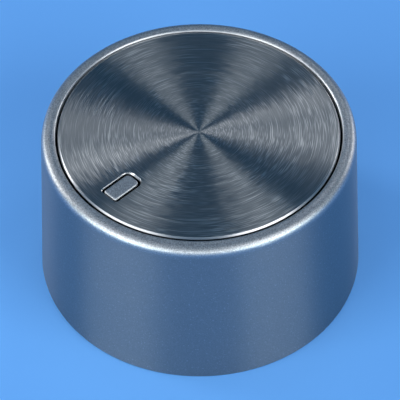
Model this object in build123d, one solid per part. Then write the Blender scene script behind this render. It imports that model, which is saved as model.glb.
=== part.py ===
from build123d import *

import os
from math import radians, tan

# Stove knob: a die-cast shell with a spun face disc, on a moulded core that pushes onto a D-shaft.
# Frame, in millimetres: origin on the shaft axis in the plane of the base rim, +Z from the cooker
# towards the face disc, +Y towards the pointer.

# Outside form of the shell
HEIGHT = 22.4
BASE_RADIUS = 20.0
SIDE_DRAFT = 2.6
RIM_ROUND = 1.1
RECESS_EDGE_ROUND = 0.43
BASE_ROUND = 0.3

# Face disc, and the recess that it is stuck into
DISC_RADIUS = 17.03
DISC_THICKNESS = 0.8
DISC_SETBACK = 0.1
DISC_BEVEL = 0.2
DISC_GAP = 0.24
ADHESIVE_THICKNESS = 0.15
ADHESIVE_MARGIN = 0.4

# Pointer: a pad of the shell that stands up through a window in the face disc. The window has a
# gap on every side of the pad, and its bevel is widest at the inner end.
POINTER_INNER_END = 10.7
POINTER_OUTER_END = 14.75
POINTER_WIDTH = 2.06
POINTER_PROUD = 0.05
POINTER_INNER_CORNER = 0.62
POINTER_OUTER_CORNER = 0.3
POINTER_EDGE_ROUND = 0.27
WINDOW_GAP = 0.28
WINDOW_OUTER_GAP = 0.1
WINDOW_BEVEL = 0.1
WINDOW_INNER_BEVEL = 0.24

# Inside of the shell
CAVITY_RADIUS = 18.2
CAVITY_DRAFT = 1.0
FACE_WALL = 1.7
CAVITY_ROUND = 0.8
CAVITY_EDGE_ROUND = 0.2

# Screws, and the shell's posts that they hold the core to
SCREW_ANGLES = (30, 150, 270)
SCREW_CIRCLE_RADIUS = 12.0
SCREW_HEAD_RADIUS = 2.4
SCREW_HEAD_HEIGHT = 1.8
SCREW_HEAD_CROWN = 0.7
SCREW_SHANK_RADIUS = 1.1
SCREW_LENGTH = 8.0
SCREW_POINT = 0.5
RECESS_ARM_LENGTH = 2.6
RECESS_ARM_WIDTH = 0.6
RECESS_ARM_DEPTH = 1.1
POST_RADIUS = 2.8
POST_DRAFT = 1.0
POST_REGISTER = 0.6
POST_WEB = 1.2
PILOT_CLEARANCE = 0.02
PILOT_EXTRA_DEPTH = 0.8

# Core: rim, flange, ribs and boss
CORE_CLEARANCE = 0.12
CORE_RIM_BOTTOM = 4.0
CORE_RIM_WALL = 1.5
FLANGE_BOTTOM = 8.0
FLANGE_TOP = 10.0
BOSS_RADIUS = 6.0
BOSS_BOTTOM = 1.0
BOSS_TOP = 17.0
BOSS_MOUTH_CHAMFER = 0.5
RIB_COUNT = 6
RIB_WIDTH = 1.2
RIB_BOTTOM = 5.2
GUSSET_ANGLES = (90, 210, 330)
GUSSET_REACH = 6.0
GUSSET_HEIGHT = 5.5
SCREW_HOLE_RADIUS = 1.45
REGISTER_CLEARANCE = 0.05
CORE_EDGE_ROUND = 0.3

# Steel band that stops the boss from splitting
BAND_INNER_RADIUS = 5.5
BAND_THICKNESS = 0.6
BAND_BOTTOM = 1.8
BAND_TOP = 5.0
BAND_CLEARANCE = 0.02
BAND_EDGE_CHAMFER = 0.12

# Socket for a 6 mm D-shaft that is 4.6 mm across its flat
LEAD_IN_RADIUS = 3.3
SOCKET_RADIUS = 3.05
SOCKET_FLAT = 1.65
SOCKET_BOTTOM = 5.0

# Spring clip that grips the shaft's flat. It straddles a wall of the boss from above.
CLIP_THICKNESS = 0.4
CLIP_WIDTH = 3.0
CLIP_SIDE_CLEARANCE = 0.2
CLIP_WALL_INNER = 2.25
CLIP_WALL_OUTER = 3.7
CLIP_WALL_TOP = 15.2
CLIP_CREST = 1.45
CLIP_CREST_HEIGHT = 10.0
CLIP_BOW_HALF_LENGTH = 3.2
CLIP_INNER_TIP = 6.1
CLIP_OUTER_TIP = 9.6
CLIP_BARB = 0.35
CLIP_BEND_ROUND = 0.6
CLIP_SLOT_OUTER = 4.5

DISC_FACE = HEIGHT - DISC_SETBACK
DISC_BACK = DISC_FACE - DISC_THICKNESS
RECESS_FLOOR = DISC_BACK - ADHESIVE_THICKNESS
RECESS_RADIUS = DISC_RADIUS + DISC_GAP
CAVITY_CEILING = RECESS_FLOOR - FACE_WALL
POST_END = FLANGE_TOP - POST_REGISTER


def side_radius(z):
    """Radius of the shell's outer side at height z."""
    return BASE_RADIUS - z * tan(radians(SIDE_DRAFT))


def cavity_radius(z):
    """Radius of the shell's cavity at height z."""
    return CAVITY_RADIUS - z * tan(radians(CAVITY_DRAFT))


def round_corners(face, corners):
    """Rounds the corners of a flat face, given as ((x, y), radius) pairs."""
    for (x, y), radius in corners:
        nearest = face.vertices().sort_by_distance((x, y, 0))[0]
        face = fillet(nearest, radius)
    return face


def turned(points, corners=()):
    """A solid of revolution about Z, from its half section as (radius, height) points."""
    section = round_corners(make_face(Polyline(*points, close=True)), corners)
    return revolve(Plane.XZ * section, Axis.Z)


def around(angles, shape):
    """Copies of a shape turned about Z to each angle."""
    return [Rot(0, 0, angle) * shape for angle in angles]


def pointer_outline(inner=0.0, side=0.0, outer=0.0):
    """The pointer seen from above, grown at its inner end, its sides and its outer end."""
    half_width = POINTER_WIDTH / 2 + side
    inner_end = POINTER_INNER_END - inner
    outer_end = POINTER_OUTER_END + outer
    outline = make_face(Polyline(
        (-half_width, inner_end), (half_width, inner_end),
        (half_width, outer_end), (-half_width, outer_end), close=True))
    inner_corner = POINTER_INNER_CORNER + (inner + side) / 2
    outer_corner = POINTER_OUTER_CORNER + outer
    return round_corners(outline, [
        ((-half_width, inner_end), inner_corner), ((half_width, inner_end), inner_corner),
        ((-half_width, outer_end), outer_corner), ((half_width, outer_end), outer_corner)])


def make_post():
    """One screw post with its web to the shell's wall, along +X."""
    height = CAVITY_CEILING - POST_END
    top_radius = POST_RADIUS + height * tan(radians(POST_DRAFT))
    post = Pos(SCREW_CIRCLE_RADIUS, 0, POST_END + height / 2) * Cone(POST_RADIUS, top_radius, height)
    web_bottom = FLANGE_TOP + POST_RADIUS
    web_end = cavity_radius(CAVITY_CEILING) + POST_WEB / 2
    web = Pos(SCREW_CIRCLE_RADIUS, 0, web_bottom) * Box(
        web_end - SCREW_CIRCLE_RADIUS, POST_WEB, CAVITY_CEILING - web_bottom,
        align=(Align.MIN, Align.CENTER, Align.MIN))
    return post + web


def make_pilot_hole():
    """The blind hole that a screw cuts its thread in, along +X."""
    depth = SCREW_LENGTH - (POST_END - FLANGE_BOTTOM) + PILOT_EXTRA_DEPTH
    return Pos(SCREW_CIRCLE_RADIUS, 0, POST_END) * Cylinder(
        SCREW_SHANK_RADIUS + PILOT_CLEARANCE, depth, align=(Align.CENTER, Align.CENTER, Align.MIN))


def make_shell():
    """Die-cast shell: drafted skirt, rounded rim, disc recess, pointer pad and screw posts."""
    top_radius = side_radius(HEIGHT)
    ceiling_radius = cavity_radius(CAVITY_CEILING)
    body = turned(
        [
            (CAVITY_RADIUS, 0),
            (BASE_RADIUS, 0),
            (top_radius, HEIGHT),
            (RECESS_RADIUS, HEIGHT),
            (RECESS_RADIUS, RECESS_FLOOR),
            (0, RECESS_FLOOR),
            (0, CAVITY_CEILING),
            (ceiling_radius, CAVITY_CEILING),
        ],
        [
            ((BASE_RADIUS, 0), BASE_ROUND),
            ((top_radius, HEIGHT), RIM_ROUND),
            ((RECESS_RADIUS, HEIGHT), RECESS_EDGE_ROUND),
            ((ceiling_radius, CAVITY_CEILING), CAVITY_ROUND),
            ((CAVITY_RADIUS, 0), CAVITY_EDGE_ROUND),
        ],
    )
    pad_height = DISC_FACE + POINTER_PROUD - RECESS_FLOOR
    pad = Pos(0, 0, RECESS_FLOOR) * extrude(pointer_outline(), pad_height)
    pad = fillet(pad.faces().sort_by(Axis.Z)[-1].edges(), POINTER_EDGE_ROUND)
    body += pad
    body += around(SCREW_ANGLES, make_post())
    body -= around(SCREW_ANGLES, make_pilot_hole())
    return body


def make_face_disc():
    """Spun disc with a bevelled edge and a bevelled window for the pointer."""
    disc = Pos(0, 0, DISC_BACK) * extrude(Circle(DISC_RADIUS), DISC_THICKNESS)
    disc = chamfer(disc.faces().sort_by(Axis.Z)[-1].edges(), DISC_BEVEL)
    window = pointer_outline(WINDOW_GAP, WINDOW_GAP, WINDOW_OUTER_GAP)
    edge_top = pointer_outline(
        WINDOW_GAP + WINDOW_BEVEL, WINDOW_GAP + WINDOW_BEVEL, WINDOW_OUTER_GAP + WINDOW_BEVEL)
    edge = loft([Pos(0, 0, DISC_FACE - WINDOW_BEVEL) * window, Pos(0, 0, DISC_FACE) * edge_top])
    end_top = pointer_outline(WINDOW_GAP + WINDOW_INNER_BEVEL, WINDOW_GAP, WINDOW_OUTER_GAP)
    end = loft([Pos(0, 0, DISC_FACE - WINDOW_INNER_BEVEL) * window, Pos(0, 0, DISC_FACE) * end_top])
    return disc - Pos(0, 0, DISC_BACK) * extrude(window, DISC_THICKNESS) - edge - end


def make_disc_adhesive():
    """Die-cut double-sided film between the disc and the recess floor."""
    window_grow = WINDOW_GAP + ADHESIVE_MARGIN
    film = Circle(DISC_RADIUS - ADHESIVE_MARGIN) - pointer_outline(window_grow, window_grow, window_grow)
    return Pos(0, 0, RECESS_FLOOR) * extrude(film, ADHESIVE_THICKNESS)


def make_socket():
    """The space inside the boss: round lead-in, D-shaped socket, and the clip's pocket and slot."""
    lead_in = Pos(0, 0, BOSS_BOTTOM) * Cylinder(
        LEAD_IN_RADIUS, SOCKET_BOTTOM - BOSS_BOTTOM, align=(Align.CENTER, Align.CENTER, Align.MIN))
    mouth = Pos(0, 0, BOSS_BOTTOM + BOSS_MOUTH_CHAMFER / 2) * Cone(
        LEAD_IN_RADIUS + BOSS_MOUTH_CHAMFER, LEAD_IN_RADIUS, BOSS_MOUTH_CHAMFER)
    d_shape = Circle(SOCKET_RADIUS) - Pos(0, SOCKET_FLAT) * Rectangle(
        2 * SOCKET_RADIUS, SOCKET_RADIUS, align=(Align.CENTER, Align.MIN))
    socket = Pos(0, 0, SOCKET_BOTTOM) * extrude(d_shape, BOSS_TOP - SOCKET_BOTTOM)
    clip_room = CLIP_WIDTH + 2 * CLIP_SIDE_CLEARANCE
    pocket_bottom = CLIP_INNER_TIP - CLIP_THICKNESS
    pocket = Pos(0, 0, pocket_bottom) * Box(
        clip_room, CLIP_WALL_INNER, BOSS_TOP - pocket_bottom,
        align=(Align.CENTER, Align.MIN, Align.MIN))
    slot_bottom = CLIP_OUTER_TIP - CLIP_THICKNESS
    slot = Pos(0, CLIP_WALL_OUTER, slot_bottom) * Box(
        clip_room, CLIP_SLOT_OUTER - CLIP_WALL_OUTER, BOSS_TOP - slot_bottom,
        align=(Align.CENTER, Align.MIN, Align.MIN))
    saddle = Pos(0, 0, CLIP_WALL_TOP) * Box(
        clip_room, CLIP_SLOT_OUTER, BOSS_TOP - CLIP_WALL_TOP,
        align=(Align.CENTER, Align.MIN, Align.MIN))
    return [lead_in, mouth, socket, pocket, slot, saddle]


def make_rib():
    """One radial rib under the flange, along +X, from the boss to the core's rim."""
    end = cavity_radius(RIB_BOTTOM) - CORE_CLEARANCE - CORE_RIM_WALL / 2
    start = BOSS_RADIUS - RIB_WIDTH / 2
    return Pos(start, 0, RIB_BOTTOM) * Box(
        end - start, RIB_WIDTH, FLANGE_BOTTOM - RIB_BOTTOM, align=(Align.MIN, Align.CENTER, Align.MIN))


def make_gusset():
    """One three-cornered gusset above the flange, along +X, that steadies the boss."""
    start = BOSS_RADIUS - RIB_WIDTH / 2
    outline = make_face(Polyline(
        (start, FLANGE_TOP), (BOSS_RADIUS + GUSSET_REACH, FLANGE_TOP),
        (BOSS_RADIUS, FLANGE_TOP + GUSSET_HEIGHT), (start, FLANGE_TOP + GUSSET_HEIGHT), close=True))
    return extrude(Plane.XZ * outline, RIB_WIDTH / 2, both=True)


def make_screw_seat():
    """What one screw and its post take out of the flange, along +X."""
    hole = Pos(SCREW_CIRCLE_RADIUS, 0, FLANGE_BOTTOM) * Cylinder(
        SCREW_HOLE_RADIUS, FLANGE_TOP - FLANGE_BOTTOM, align=(Align.CENTER, Align.CENTER, Align.MIN))
    register = Pos(SCREW_CIRCLE_RADIUS, 0, POST_END) * Cylinder(
        POST_RADIUS + REGISTER_CLEARANCE, POST_REGISTER, align=(Align.CENTER, Align.CENTER, Align.MIN))
    return hole + register


def make_core():
    """Moulded core: rim and flange, boss with the D-socket, ribs and gussets."""
    rim_bottom = cavity_radius(CORE_RIM_BOTTOM) - CORE_CLEARANCE
    rim_top = cavity_radius(FLANGE_TOP) - CORE_CLEARANCE
    shoulder = BAND_TOP
    seat_radius = BAND_INNER_RADIUS - BAND_CLEARANCE
    core = turned(
        [
            (0, BOSS_BOTTOM),
            (seat_radius, BOSS_BOTTOM),
            (seat_radius, shoulder),
            (BOSS_RADIUS, shoulder),
            (BOSS_RADIUS, FLANGE_BOTTOM),
            (rim_bottom - CORE_RIM_WALL, FLANGE_BOTTOM),
            (rim_bottom - CORE_RIM_WALL, CORE_RIM_BOTTOM),
            (rim_bottom, CORE_RIM_BOTTOM),
            (rim_top, FLANGE_TOP),
            (BOSS_RADIUS, FLANGE_TOP),
            (BOSS_RADIUS, BOSS_TOP),
            (0, BOSS_TOP),
        ],
        [
            ((seat_radius, BOSS_BOTTOM), CORE_EDGE_ROUND),
            ((rim_bottom, CORE_RIM_BOTTOM), CORE_EDGE_ROUND),
            ((rim_bottom - CORE_RIM_WALL, CORE_RIM_BOTTOM), CORE_EDGE_ROUND),
            ((BOSS_RADIUS, BOSS_TOP), CORE_EDGE_ROUND),
        ],
    )
    core += around([i * 360 / RIB_COUNT for i in range(RIB_COUNT)], make_rib())
    core += around(GUSSET_ANGLES, make_gusset())
    core -= around(SCREW_ANGLES, make_screw_seat())
    return core - make_socket()


def make_boss_band():
    """Closed steel band, pushed up the boss to its shoulder."""
    outer = BAND_INNER_RADIUS + BAND_THICKNESS
    ring = Circle(outer) - Circle(BAND_INNER_RADIUS)
    band = Pos(0, 0, BAND_BOTTOM) * extrude(ring, BAND_TOP - BAND_BOTTOM)
    return chamfer(band.faces().sort_by(Axis.Z)[0].edges(), BAND_EDGE_CHAMFER)


def make_shaft_clip():
    """Folded spring-steel clip: a bowed inner leg on the shaft's flat, and a barbed outer leg."""
    half = CLIP_THICKNESS / 2
    inner = CLIP_WALL_INNER - half
    outer = CLIP_WALL_OUTER + half
    crest = CLIP_CREST + half
    fold_radius = (outer - inner) / 2
    fold_centre = CLIP_WALL_TOP + half
    inner_leg = FilletPolyline(
        (inner, CLIP_INNER_TIP),
        (inner, CLIP_CREST_HEIGHT - CLIP_BOW_HALF_LENGTH),
        (crest, CLIP_CREST_HEIGHT),
        (inner, CLIP_CREST_HEIGHT + CLIP_BOW_HALF_LENGTH),
        (inner, fold_centre),
        radius=CLIP_BEND_ROUND)
    fold = ThreePointArc(
        (inner, fold_centre), (inner + fold_radius, fold_centre + fold_radius), (outer, fold_centre))
    outer_leg = FilletPolyline(
        (outer, fold_centre),
        (outer, CLIP_OUTER_TIP + 3 * CLIP_BARB),
        (outer + CLIP_BARB, CLIP_OUTER_TIP),
        radius=CLIP_BEND_ROUND)
    section = trace([inner_leg, fold, outer_leg], CLIP_THICKNESS)
    return extrude(Plane.YZ * section, CLIP_WIDTH / 2, both=True)


def make_screw():
    """Pan-head screw along +Z, its head below the flange and its cross recess facing down."""
    head = turned(
        [
            (0, -SCREW_HEAD_HEIGHT),
            (SCREW_HEAD_RADIUS, -SCREW_HEAD_HEIGHT),
            (SCREW_HEAD_RADIUS, 0),
            (SCREW_SHANK_RADIUS, 0),
            (SCREW_SHANK_RADIUS, SCREW_LENGTH - SCREW_POINT),
            (SCREW_SHANK_RADIUS - SCREW_POINT, SCREW_LENGTH),
            (0, SCREW_LENGTH),
        ],
        [((SCREW_HEAD_RADIUS, -SCREW_HEAD_HEIGHT), SCREW_HEAD_CROWN)],
    )
    arm = Pos(0, 0, -SCREW_HEAD_HEIGHT) * Box(
        RECESS_ARM_LENGTH, RECESS_ARM_WIDTH, RECESS_ARM_DEPTH,
        align=(Align.CENTER, Align.CENTER, Align.MIN))
    return head - around((0, 90), arm)


def make_core_screws():
    """The three like screws, as separate solids in one group."""
    placed = Pos(SCREW_CIRCLE_RADIUS, 0, FLANGE_BOTTOM) * make_screw()
    return Compound(around(SCREW_ANGLES, placed))


PARTS = {
    "shell": make_shell,
    "face_disc": make_face_disc,
    "disc_adhesive": make_disc_adhesive,
    "core": make_core,
    "boss_band": make_boss_band,
    "shaft_clip": make_shaft_clip,
    "core_screws": make_core_screws,
}


def main():
    os.makedirs("parts", exist_ok=True)
    for name, make in PARTS.items():
        export_step(make(), f"parts/{name}.step")


main()
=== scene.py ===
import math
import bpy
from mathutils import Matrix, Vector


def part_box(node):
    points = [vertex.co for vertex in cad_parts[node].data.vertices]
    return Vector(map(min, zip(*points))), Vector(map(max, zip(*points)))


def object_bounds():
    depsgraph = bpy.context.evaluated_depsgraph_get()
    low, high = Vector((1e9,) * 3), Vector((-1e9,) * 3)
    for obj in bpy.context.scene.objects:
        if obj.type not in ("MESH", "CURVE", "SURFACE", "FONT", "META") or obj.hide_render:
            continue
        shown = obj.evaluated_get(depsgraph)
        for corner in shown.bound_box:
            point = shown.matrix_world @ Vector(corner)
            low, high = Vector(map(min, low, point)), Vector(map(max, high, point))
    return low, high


bl_info = {
    "name": "Stove Knob",
    "version": (1, 0, 0),
    "blender": (4, 5, 0),
    "location": "3D View > Sidebar > Stove Knob",
    "description": "Finishes a push-on stove knob and sets it on a plain stage",
    "category": "Object",
}

import bpy
from bpy.props import FloatProperty, FloatVectorProperty, PointerProperty
from mathutils import Quaternion, Vector

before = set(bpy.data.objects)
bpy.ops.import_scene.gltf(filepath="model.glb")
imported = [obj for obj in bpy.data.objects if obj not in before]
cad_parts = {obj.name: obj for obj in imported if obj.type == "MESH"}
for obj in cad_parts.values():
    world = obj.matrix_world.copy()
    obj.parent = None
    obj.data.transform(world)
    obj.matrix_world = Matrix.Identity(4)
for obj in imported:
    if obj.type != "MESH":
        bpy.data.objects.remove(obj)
CAD_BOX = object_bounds()
MM = 0.001
TOP = CAD_BOX[1].z
DISC_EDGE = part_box("face_disc")[1].x
# The turned edge of the disc's recess reaches this far out from the disc.
TURNED_WIDTH = 0.7 * MM
# A turned line never closes up tighter than this round the shaft's axis.
LEAST_RADIUS = 0.05 * MM
# A quarter turn from the lines' own direction draws a highlight out across them.
ACROSS_LINES = 0.25

# The floor's edge is this many metres from its middle.
FLOOR_REACH = 3.0
# The middle of the floor, under the knob, lets light up into its underside.
COVERED_FLOOR = 19.6 * MM
# The camera looks at a point this high on the shaft's axis, and this far to its right.
AIM_HEIGHT = 9.99 * MM
AIM_RIGHT = 0.04 * MM

# Each lamp: its name, its middle's angle round the knob and above the floor, its width and
# height, all in degrees, and its radiance. The camera stands at 270 degrees. All of them are
# LAMP_DISTANCE metres from the knob's top, and those over the floor and lower than LOW_LAMP
# degrees are slightly cool.
LAMP_DISTANCE = 0.9
LOW_LAMP = 10
LAMPS = (
    ("key_left_low", 221, 7, 48, 12, 8.8),
    ("key_left_middle", 219, 21, 44, 16, 4.2),
    ("key_left_high", 216, 39, 34, 20, 2.2),
    ("key_right_low", 316, 7, 46, 12, 8.6),
    ("key_right_high", 319, 31, 36, 36, 3.3),
    ("front_low", 268, 7, 46, 12, 1.5),
    ("front_high", 270, 18, 46, 14, 3.1),
    ("back_left", 158, 19, 15, 26, 7.6),
    ("back_left_low", 147, 5, 24, 12, 1.6),
    ("back_right", 35, 13, 22, 20, 4.0),
    ("back_left_high", 127, 44, 26, 12, 1.9),
    ("back_right_high", 67, 44, 20, 12, 2.4),
    ("top_left", 180, 68, 16, 14, 2.0),
    ("top_right", 0, 68, 10, 14, 2.0),
    ("underneath", 250, -62, 60, 60, 3.0),
)


# Node helpers

def new_shader(name):
    """A new material with a Principled shader, and that shader."""
    material = bpy.data.materials.new(name)
    material.use_nodes = True
    shader = material.node_tree.nodes["Principled BSDF"]
    return material, shader


def add_node(tree, kind, **settings):
    """A new node with the given attributes set."""
    made = tree.nodes.new(kind)
    for key, value in settings.items():
        setattr(made, key, value)
    return made


def feed(tree, socket, value):
    """Links a socket's source, or sets a plain value."""
    if isinstance(value, bpy.types.NodeSocket):
        tree.links.new(value, socket)
    else:
        socket.default_value = value


def calc(tree, operation, *values):
    """A Math node's result."""
    made = add_node(tree, "ShaderNodeMath", operation=operation)
    for socket, value in zip(made.inputs, values):
        feed(tree, socket, value)
    return made.outputs[0]


def spread(tree, value, low, high, to_low=0.0, to_high=1.0):
    """A value's range mapped to another, clamped."""
    made = add_node(tree, "ShaderNodeMapRange")
    for socket, setting in zip(made.inputs, (value, low, high, to_low, to_high)):
        feed(tree, socket, setting)
    return made.outputs[0]


def between(tree, factor, first, second):
    """A value that goes from the first to the second with a factor."""
    return spread(tree, factor, 0.0, 1.0, first, second)


def by_depth(tree, z, start, end):
    """A factor that is 0 at one depth below the knob's top and 1 at another, in millimetres."""
    return spread(tree, z, TOP - start * MM, TOP - end * MM)


def noise(tree, vector, scale, detail):
    """A Noise texture's value. In the object's own frame its scale counts cells in a metre."""
    made = add_node(tree, "ShaderNodeTexNoise")
    feed(tree, made.inputs["Vector"], vector)
    made.inputs["Scale"].default_value = scale
    made.inputs["Detail"].default_value = detail
    return made.outputs["Fac"]


def vary(tree, value, low=0.0, high=1.0):
    """A noise's usual range mapped to another."""
    return spread(tree, value, 0.3, 0.7, low, high)


def blend_colour(tree, factor, first, second, mode="MIX"):
    """Two colours mixed by a factor."""
    made = add_node(tree, "ShaderNodeMix", data_type="RGBA", blend_type=mode)
    feed(tree, made.inputs[0], factor)
    feed(tree, made.inputs[6], first)
    feed(tree, made.inputs[7], second)
    return made.outputs[2]


def raise_bump(tree, height, distance, below=None):
    """A Bump node's normal, over another normal if one is given."""
    made = add_node(tree, "ShaderNodeBump")
    made.inputs["Distance"].default_value = distance
    feed(tree, made.inputs["Height"], height)
    if below is not None:
        feed(tree, made.inputs["Normal"], below)
    return made.outputs["Normal"]


def lean_normal(tree, normal, x, y, z):
    """A normal pushed over by the vector of three values."""
    push = add_node(tree, "ShaderNodeCombineXYZ")
    for socket, value in zip(push.inputs, (x, y, z)):
        feed(tree, socket, value)
    leaning = add_node(tree, "ShaderNodeVectorMath", operation="ADD")
    feed(tree, leaning.inputs[0], normal)
    feed(tree, leaning.inputs[1], push.outputs[0])
    unit = add_node(tree, "ShaderNodeVectorMath", operation="NORMALIZE")
    feed(tree, unit.inputs[0], leaning.outputs[0])
    return unit.outputs[0]


def eased_edges(tree, radius):
    """The normal eased over small rounds and edges."""
    made = add_node(tree, "ShaderNodeBevel", samples=8)
    made.inputs["Radius"].default_value = radius
    return made.outputs["Normal"]


def grey(value):
    """A grey as a node's colour."""
    return (value, value, value, 1.0)


def tinted(colour, factor):
    """A lighter or darker tint of a colour, as a node's colour."""
    return tuple(channel * factor for channel in colour) + (1.0,)


# Settings

class KnobFinishSettings(bpy.types.PropertyGroup):
    """Colours and gloss of the knob's finishes"""
    silver: FloatVectorProperty(
        name="Satin silver", description="Colour of the shell's satin plating",
        subtype="COLOR", size=3, min=0.0, max=1.0, default=(0.39, 0.39, 0.395))
    rim_roughness: FloatProperty(
        name="Rim roughness", description="Roughness of the plating on the blasted rim",
        subtype="FACTOR", min=0.0, max=1.0, default=0.44)
    bright_edge: FloatProperty(
        name="Bright edge", description="Brightness of the turned edge of the disc's recess",
        subtype="FACTOR", min=0.0, max=1.0, default=0.56)
    bright_edge_roughness: FloatProperty(
        name="Bright edge roughness",
        description="Roughness of the turned edge of the disc's recess",
        subtype="FACTOR", min=0.0, max=1.0, default=0.4)
    edge_lean: FloatProperty(
        name="Edge lean", description="Upward lean of the turned edge where it ends in the recess",
        subtype="FACTOR", min=0.0, max=2.0, default=0.9)
    side_roughness: FloatProperty(
        name="Side roughness", description="Roughness of the plating on the smoother side",
        subtype="FACTOR", min=0.0, max=1.0, default=0.31)
    # The side's plating is painted darker than the rim by this factor: painted shade.
    side_painted_shade: FloatProperty(
        name="Side tone", description="Brightness of the smoother side beside the blasted rim",
        subtype="FACTOR", min=0.0, max=1.0, default=0.635)
    side_draw: FloatProperty(
        name="Side draw", description="How far the side's turned lines draw out a highlight up it",
        subtype="FACTOR", min=0.0, max=1.0, default=0.86)
    disc: FloatVectorProperty(
        name="Spun disc", description="Colour of the spun face disc",
        subtype="COLOR", size=3, min=0.0, max=1.0, default=(0.235, 0.246, 0.255))
    disc_roughness: FloatProperty(
        name="Spun roughness", description="Roughness of the disc's spun lines",
        subtype="FACTOR", min=0.0, max=1.0, default=0.41)
    disc_draw: FloatProperty(
        name="Spun draw", description="How far the spun lines draw out a highlight across them",
        subtype="FACTOR", min=0.0, max=1.0, default=1.0)
    disc_swing: FloatProperty(
        name="Spun swing", description="How far a spun line strays from a true circle",
        subtype="ANGLE", default=math.radians(4.0))
    disc_lean: FloatProperty(
        name="Spun lean", description="Outward slope of the steep flanks of the spun lines",
        subtype="FACTOR", min=0.0, max=1.0, default=0.1)
    cut_edge: FloatProperty(
        name="Cut edge", description="Brightness of the disc's cut edges",
        subtype="FACTOR", min=0.0, max=1.0, default=0.5)
    cut_edge_roughness: FloatProperty(
        name="Cut edge roughness", description="Roughness of the disc's cut edges",
        subtype="FACTOR", min=0.0, max=1.0, default=0.28)


class KnobStageSettings(bpy.types.PropertyGroup):
    """Colours of the stage, and where the camera stands"""
    floor: FloatVectorProperty(
        name="Floor", description="Colour of the floor",
        subtype="COLOR", size=3, min=0.0, max=1.0, default=(0.15, 0.41, 0.86))
    room: FloatVectorProperty(
        name="Room", description="Colour of the dim light from all round",
        subtype="COLOR", size=3, min=0.0, max=1.0, default=(0.01, 0.11, 0.24))
    low_lamps: FloatVectorProperty(
        name="Low lamps", description="Colour of the low lamps, which light the side",
        subtype="COLOR", size=3, min=0.0, max=1.0, default=(0.78, 0.97, 1.0))
    camera_azimuth: FloatProperty(
        name="Camera azimuth", description="Direction the camera looks along, from +Y",
        subtype="ANGLE", default=math.radians(226.34))
    camera_elevation: FloatProperty(
        name="Camera elevation", description="Height of the camera above the horizon",
        subtype="ANGLE", default=math.radians(48.2))
    camera_distance: FloatProperty(
        name="Camera distance", description="Distance from the camera to the knob's middle",
        unit="LENGTH", default=0.332)
    camera_roll: FloatProperty(
        name="Camera roll", description="Turn of the camera about its own line of sight",
        subtype="ANGLE", default=math.radians(-0.66))
    lens: FloatProperty(
        name="Lens", description="Focal length of the camera's lens in millimetres",
        subtype="DISTANCE_CAMERA", default=241.36)


# Finishes

def object_place(tree):
    """Position in the object's own frame, and its x, y and z."""
    place = add_node(tree, "ShaderNodeTexCoord").outputs["Object"]
    parts = add_node(tree, "ShaderNodeSeparateXYZ")
    feed(tree, parts.inputs[0], place)
    return place, parts.outputs[0], parts.outputs[1], parts.outputs[2]


def round_the_axis(tree):
    """The direction round the shaft's axis, for lines turned on a lathe."""
    return add_node(tree, "ShaderNodeTangent", direction_type="RADIAL", axis="Z").outputs[0]


def distance_from_axis(tree, x, y):
    """Distance from the shaft's axis, never quite zero."""
    squares = calc(tree, "ADD", calc(tree, "MULTIPLY", x, x), calc(tree, "MULTIPLY", y, y))
    return calc(tree, "MAXIMUM", calc(tree, "SQRT", squares), LEAST_RADIUS)


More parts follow.
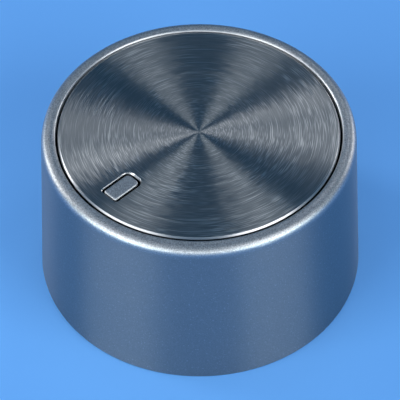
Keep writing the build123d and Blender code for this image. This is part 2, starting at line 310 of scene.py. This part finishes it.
def satin_silver(settings):
    """Satin plating: a blasted rim, a smoother side painted darker as shade, the recess's bright
    turned edge, and painted shade in the recess's bottom.
    """
    material, shader = new_shader("satin_silver")
    tree = material.node_tree
    place, x, y, z = object_place(tree)
    radius = distance_from_axis(tree, x, y)

    # Where each part of the finish lies: the rim, the pointer inside the disc's outline, and
    # the recess round the disc, with its turned edge, its steep wall, and its bottom and the
    # pointer's lower sides, which are painted near-black as shade
    rim = by_depth(tree, z, 1.5, 0.5)
    inside = calc(tree, "LESS_THAN", radius, DISC_EDGE + TURNED_WIDTH)
    pointer = calc(tree, "LESS_THAN", radius, DISC_EDGE)
    recess = calc(tree, "SUBTRACT", inside, pointer)
    turned = calc(tree, "MULTIPLY", by_depth(tree, z, 0.06, 0.13), inside)
    steep = calc(tree, "MULTIPLY", by_depth(tree, z, 0.34, 0.44), recess)
    recess_painted_shade = calc(tree, "MULTIPLY", by_depth(tree, z, 0.6, 0.8), inside)
    pointer_painted_shade = calc(tree, "MULTIPLY", by_depth(tree, z, 0.29, 0.34), pointer)
    painted_shade = calc(tree, "MAXIMUM", recess_painted_shade, pointer_painted_shade)

    # Colour
    silver = tuple(settings.silver)
    grain = noise(tree, place, 6500.0, 1.0)
    specks = noise(tree, place, 5200.0, 0.0)
    tone = calc(tree, "MULTIPLY", vary(tree, grain, -1.0, 1.0), between(tree, rim, 0.1, 0.36))
    plated = blend_colour(
        tree, spread(tree, tone, -0.5, 0.5), tinted(silver, 0.55), tinted(silver, 1.45))
    plated = blend_colour(tree, spread(tree, specks, 0.7, 0.8), plated, tinted(silver, 1.35))
    # The side is painted darker than the rim: painted shade, standing in for the dim floor close
    # to the knob that the side reflects.
    side = blend_colour(tree, 1.0, plated, grey(settings.side_painted_shade), "MULTIPLY")
    plated = blend_colour(tree, rim, side, plated)
    plated = blend_colour(tree, turned, plated, grey(settings.bright_edge))
    shader.inputs["Metallic"].default_value = 1.0
    # The recess's bottom and the pointer's lower sides are painted near-black: painted shade in
    # the narrow gap round the disc.
    feed(tree, shader.inputs["Base Color"], blend_colour(tree, painted_shade, plated, grey(0.012)))

    # Gloss
    clouds = noise(tree, place, 350.0, 3.0)
    satin = between(tree, rim, settings.side_roughness, settings.rim_roughness)
    satin = calc(tree, "ADD", satin, vary(tree, clouds, -0.006, 0.006))
    satin = between(tree, turned, satin, settings.bright_edge_roughness)
    satin = calc(tree, "MAXIMUM", satin, calc(tree, "MULTIPLY", painted_shade, 0.8))
    feed(tree, shader.inputs["Roughness"], satin)
    feed(tree, shader.inputs["Anisotropic"], between(tree, rim, settings.side_draw, 0.0))
    shader.inputs["Anisotropic Rotation"].default_value = ACROSS_LINES
    feed(tree, shader.inputs["Tangent"], round_the_axis(tree))

    # Relief
    blasted = calc(tree, "MULTIPLY", grain, calc(tree, "SUBTRACT", 1.0, turned))
    bumped = raise_bump(tree, blasted, 0.003 * MM, below=eased_edges(tree, 0.12 * MM))
    upward = calc(tree, "MULTIPLY", steep, settings.edge_lean)
    feed(tree, shader.inputs["Normal"], lean_normal(tree, bumped, 0.0, 0.0, upward))
    return material


def spun_disc(settings):
    """Spun metal: fine circular lines that stretch the highlights into fans, cut edges, and
    painted shade on the disc's side below them.
    """
    material, shader = new_shader("spun_disc")
    tree = material.node_tree
    place, x, y, z = object_place(tree)
    radius = distance_from_axis(tree, x, y)

    def lines(pitch, turns, detail, shift):
        """Noise drawn out along circles: its pitch across them, its turns in a radian, its
        detail, and a shift that keeps it apart from the other lines."""
        drawn = add_node(tree, "ShaderNodeCombineXYZ")
        rings = calc(tree, "ADD", calc(tree, "DIVIDE", radius, pitch), shift)
        feed(tree, drawn.inputs[0], rings)
        for socket, part in zip(drawn.inputs[1:], (x, y)):
            feed(tree, socket, calc(tree, "MULTIPLY", calc(tree, "DIVIDE", part, radius), turns))
        return noise(tree, drawn.outputs[0], 1.0, detail)

    fine = lines(0.11 * MM, 5.0, 1.0, 0.0)
    arcs = lines(0.085 * MM, 7.0, 0.0, 40.0)
    bands = lines(0.45 * MM, 2.0, 2.0, 90.0)
    drift = lines(0.1 * MM, 7.0, 0.0, 150.0)
    scratches = lines(0.09 * MM, 2.0, 0.0, 230.0)
    patches = noise(tree, place, 170.0, 1.0)

    # The flat face, and the edges that were cut through it
    normal = add_node(tree, "ShaderNodeSeparateXYZ")
    feed(tree, normal.inputs[0], add_node(tree, "ShaderNodeNewGeometry").outputs["True Normal"])
    edge = spread(tree, normal.outputs[2], 0.97, 0.9)
    face = calc(tree, "SUBTRACT", 1.0, edge)

    # Colour
    disc = tuple(settings.disc)
    tone = calc(tree, "ADD", calc(tree, "MULTIPLY", vary(tree, fine), 0.6),
                calc(tree, "MULTIPLY", vary(tree, bands), 0.4))
    spun = blend_colour(tree, tone, tinted(disc, 0.82), tinted(disc, 1.02))
    strokes = calc(tree, "MULTIPLY", spread(tree, arcs, 0.5, 0.76),
                   spread(tree, patches, 0.4, 0.6, 0.25, 1.0))
    strokes = calc(tree, "MAXIMUM", strokes, spread(tree, scratches, 0.66, 0.8))
    spun = blend_colour(tree, strokes, spun, grey(0.48))
    # The disc's side below its cut edge is painted near-black: painted shade in the narrow gap
    # round the disc.
    shaded_wall = by_depth(tree, z, 0.29, 0.36)
    cut = blend_colour(tree, shaded_wall, grey(settings.cut_edge), grey(0.02))
    shader.inputs["Metallic"].default_value = 1.0
    feed(tree, shader.inputs["Base Color"], blend_colour(tree, edge, spun, cut))

    # Gloss
    rough = settings.disc_roughness
    banded = vary(tree, bands, rough - 0.03, rough + 0.03)
    feed(tree, shader.inputs["Roughness"],
         between(tree, edge, banded, settings.cut_edge_roughness))
    feed(tree, shader.inputs["Anisotropic"], calc(tree, "MULTIPLY", face, settings.disc_draw))
    swing = settings.disc_swing / math.tau
    feed(tree, shader.inputs["Anisotropic Rotation"],
         vary(tree, drift, ACROSS_LINES - swing, ACROSS_LINES + swing))
    feed(tree, shader.inputs["Tangent"], round_the_axis(tree))

    # Relief
    ridges = calc(tree, "MULTIPLY", fine, face)
    bumped = raise_bump(tree, ridges, 0.004 * MM, below=eased_edges(tree, 0.06 * MM))
    steep = calc(tree, "MULTIPLY", strokes, face)
    lean = calc(tree, "DIVIDE", calc(tree, "MULTIPLY", steep, settings.disc_lean), radius)
    outward_x, outward_y = calc(tree, "MULTIPLY", x, lean), calc(tree, "MULTIPLY", y, lean)
    feed(tree, shader.inputs["Normal"], lean_normal(tree, bumped, outward_x, outward_y, 0.0))
    return material


def black_moulding():
    """Black moulded plastic with a fine eroded grain."""
    material, shader = new_shader("black_moulding")
    tree = material.node_tree
    place = object_place(tree)[0]
    grain = noise(tree, place, 4000.0, 2.0)
    clouds = noise(tree, place, 240.0, 2.0)
    feed(tree, shader.inputs["Base Color"], blend_colour(tree, clouds, grey(0.014), grey(0.026)))
    feed(tree, shader.inputs["Roughness"], vary(tree, grain, 0.4, 0.55))
    feed(tree, shader.inputs["Normal"], raise_bump(tree, grain, 0.01 * MM))
    return material


def bright_steel():
    """Zinc-plated steel with soft clouds and a fine grain."""
    material, shader = new_shader("bright_steel")
    tree = material.node_tree
    place = object_place(tree)[0]
    clouds = noise(tree, place, 700.0, 3.0)
    grain = noise(tree, place, 6000.0, 2.0)
    shader.inputs["Metallic"].default_value = 1.0
    feed(tree, shader.inputs["Base Color"],
         blend_colour(tree, clouds, (0.46, 0.46, 0.45, 1.0), (0.64, 0.65, 0.66, 1.0)))
    feed(tree, shader.inputs["Roughness"], vary(tree, clouds, 0.22, 0.36))
    feed(tree, shader.inputs["Normal"], raise_bump(tree, grain, 0.003 * MM))
    return material


def adhesive_film():
    """The matt black film under the disc."""
    material, shader = new_shader("adhesive_film")
    tree = material.node_tree
    grain = noise(tree, object_place(tree)[0], 3000.0, 2.0)
    feed(tree, shader.inputs["Base Color"], blend_colour(tree, grain, grey(0.006), grey(0.014)))
    feed(tree, shader.inputs["Roughness"], vary(tree, grain, 0.62, 0.78))
    return material


def dress(node, material):
    """Gives a CAD node one material all over."""
    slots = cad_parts[node].data.materials
    slots.clear()
    slots.append(material)


# Operators

class KNOB_OT_shell(bpy.types.Operator):
    """Finish the die-cast shell in satin silver"""
    bl_idname = "knob.shell"
    bl_label = "Finish Shell"

    def execute(self, context):
        dress("shell", satin_silver(context.scene.knob_finish))
        return {"FINISHED"}


class KNOB_OT_face_disc(bpy.types.Operator):
    """Finish the spun face disc and the film behind it"""
    bl_idname = "knob.face_disc"
    bl_label = "Finish Face Disc"

    def execute(self, context):
        dress("face_disc", spun_disc(context.scene.knob_finish))
        dress("disc_adhesive", adhesive_film())
        return {"FINISHED"}


class KNOB_OT_core(bpy.types.Operator):
    """Finish the moulded core and its steel pieces"""
    bl_idname = "knob.core"
    bl_label = "Finish Core"

    def execute(self, context):
        dress("core", black_moulding())
        steel = bright_steel()
        for node in ("boss_band", "shaft_clip", "core_screws"):
            dress(node, steel)
        return {"FINISHED"}


def stage_floor(settings):
    """A plain floor of matt paper, which shows nothing from below."""
    mesh = bpy.data.meshes.new("floor")
    corners = ((-1, -1), (1, -1), (1, 1), (-1, 1))
    mesh.from_pydata([(x * FLOOR_REACH, y * FLOOR_REACH, 0) for x, y in corners], [],
                     [(0, 1, 2, 3)])
    floor = bpy.data.objects.new("floor", mesh)
    bpy.context.scene.collection.objects.link(floor)
    material, shader = new_shader("floor_paper")
    shader.inputs["Base Color"].default_value = tuple(settings.floor) + (1.0,)
    shader.inputs["Roughness"].default_value = 0.9
    shader.inputs["Specular IOR Level"].default_value = 0.2
    tree = material.node_tree
    _, x, y, _ = object_place(tree)
    covered = calc(tree, "LESS_THAN", distance_from_axis(tree, x, y), COVERED_FLOOR)
    from_below = add_node(tree, "ShaderNodeNewGeometry").outputs["Backfacing"]
    below = add_node(tree, "ShaderNodeMixShader")
    feed(tree, below.inputs[0], calc(tree, "MAXIMUM", covered, from_below))
    feed(tree, below.inputs[1], shader.outputs[0])
    feed(tree, below.inputs[2], add_node(tree, "ShaderNodeBsdfTransparent").outputs[0])
    feed(tree, tree.nodes["Material Output"].inputs["Surface"], below.outputs[0])
    mesh.materials.append(material)


def seen_from(settings, side, back, up):
    """A direction in the object's frame, given as the camera sees it."""
    azimuth = settings.camera_azimuth
    right = Vector((math.cos(azimuth), math.sin(azimuth), 0))
    away = Vector((-math.sin(azimuth), math.cos(azimuth), 0))
    return (right * side + away * back + Vector((0, 0, up))).normalized()


def add_lamp(settings, name, around, height, width, tall, radiance):
    """A softbox on a sphere round the knob, placed in degrees as the camera sees it."""
    turn, rise = math.radians(around), math.radians(height)
    level = math.cos(rise)
    toward = seen_from(settings, level * math.cos(turn), level * math.sin(turn), math.sin(rise))
    light = bpy.data.lights.new(name, "AREA")
    light.shape = "RECTANGLE"
    light.size = 2 * LAMP_DISTANCE * math.tan(math.radians(width / 2))
    light.size_y = 2 * LAMP_DISTANCE * math.tan(math.radians(tall / 2))
    light.energy = radiance * light.size * light.size_y * math.pi
    if 0 < height < LOW_LAMP:
        light.color = tuple(settings.low_lamps)
    lamp = bpy.data.objects.new(name, light)
    lamp.location = Vector((0, 0, TOP)) + toward * LAMP_DISTANCE
    lamp.rotation_mode = "QUATERNION"
    lamp.rotation_quaternion = (-toward).to_track_quat("-Z", "Y")
    lamp.visible_camera = False
    bpy.context.scene.collection.objects.link(lamp)


def stage_lights(settings):
    """The softboxes, and the room's dim light."""
    for lamp in LAMPS:
        add_lamp(settings, *lamp)
    world = bpy.data.worlds.new("room")
    world.use_nodes = True
    background = world.node_tree.nodes["Background"]
    background.inputs["Color"].default_value = tuple(settings.room) + (1.0,)
    bpy.context.scene.world = world


def stage_camera(settings):
    """The camera, aimed at the knob's middle."""
    data = bpy.data.cameras.new("camera")
    data.lens = settings.lens
    data.clip_start, data.clip_end = 0.01, 10.0
    camera = bpy.data.objects.new("camera", data)
    target = Vector((0, 0, AIM_HEIGHT)) + seen_from(settings, 1, 0, 0) * AIM_RIGHT
    level = math.cos(settings.camera_elevation)
    back = seen_from(settings, 0, -level, math.sin(settings.camera_elevation))
    camera.location = target + back * settings.camera_distance
    camera.rotation_mode = "QUATERNION"
    level_view = (-back).to_track_quat("-Z", "Y")
    camera.rotation_quaternion = level_view @ Quaternion((0, 0, 1), settings.camera_roll)
    bpy.context.scene.collection.objects.link(camera)
    bpy.context.scene.camera = camera


class KNOB_OT_stage(bpy.types.Operator):
    """Add the floor, the lights and the camera"""
    bl_idname = "knob.stage"
    bl_label = "Set Stage"

    def execute(self, context):
        settings = context.scene.knob_stage
        stage_floor(settings)
        stage_lights(settings)
        stage_camera(settings)
        context.scene.view_settings.view_transform = "Standard"
        return {"FINISHED"}


class KNOB_PT_sidebar(bpy.types.Panel):
    """Lists the knob's settings and steps"""
    bl_idname = "KNOB_PT_sidebar"
    bl_label = "Stove Knob"
    bl_space_type = "VIEW_3D"
    bl_region_type = "UI"
    bl_category = "Stove Knob"

    def draw(self, context):
        for group in (context.scene.knob_finish, context.scene.knob_stage):
            box = self.layout.box()
            for name in type(group).__annotations__:
                box.prop(group, name)
        for step in STEPS:
            self.layout.operator(step.bl_idname)


STEPS = (KNOB_OT_shell, KNOB_OT_face_disc, KNOB_OT_core, KNOB_OT_stage)
CLASSES = (KnobFinishSettings, KnobStageSettings, *STEPS, KNOB_PT_sidebar)


def register():
    for cls in CLASSES:
        bpy.utils.register_class(cls)
    bpy.types.Scene.knob_finish = PointerProperty(type=KnobFinishSettings)
    bpy.types.Scene.knob_stage = PointerProperty(type=KnobStageSettings)


def unregister():
    del bpy.types.Scene.knob_stage
    del bpy.types.Scene.knob_finish
    for cls in reversed(CLASSES):
        bpy.utils.unregister_class(cls)


def main():
    """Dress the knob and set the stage."""
    register()
    bpy.ops.knob.shell()
    bpy.ops.knob.face_disc()
    bpy.ops.knob.core()
    bpy.ops.knob.stage()


if __name__ == "__main__":
    main()
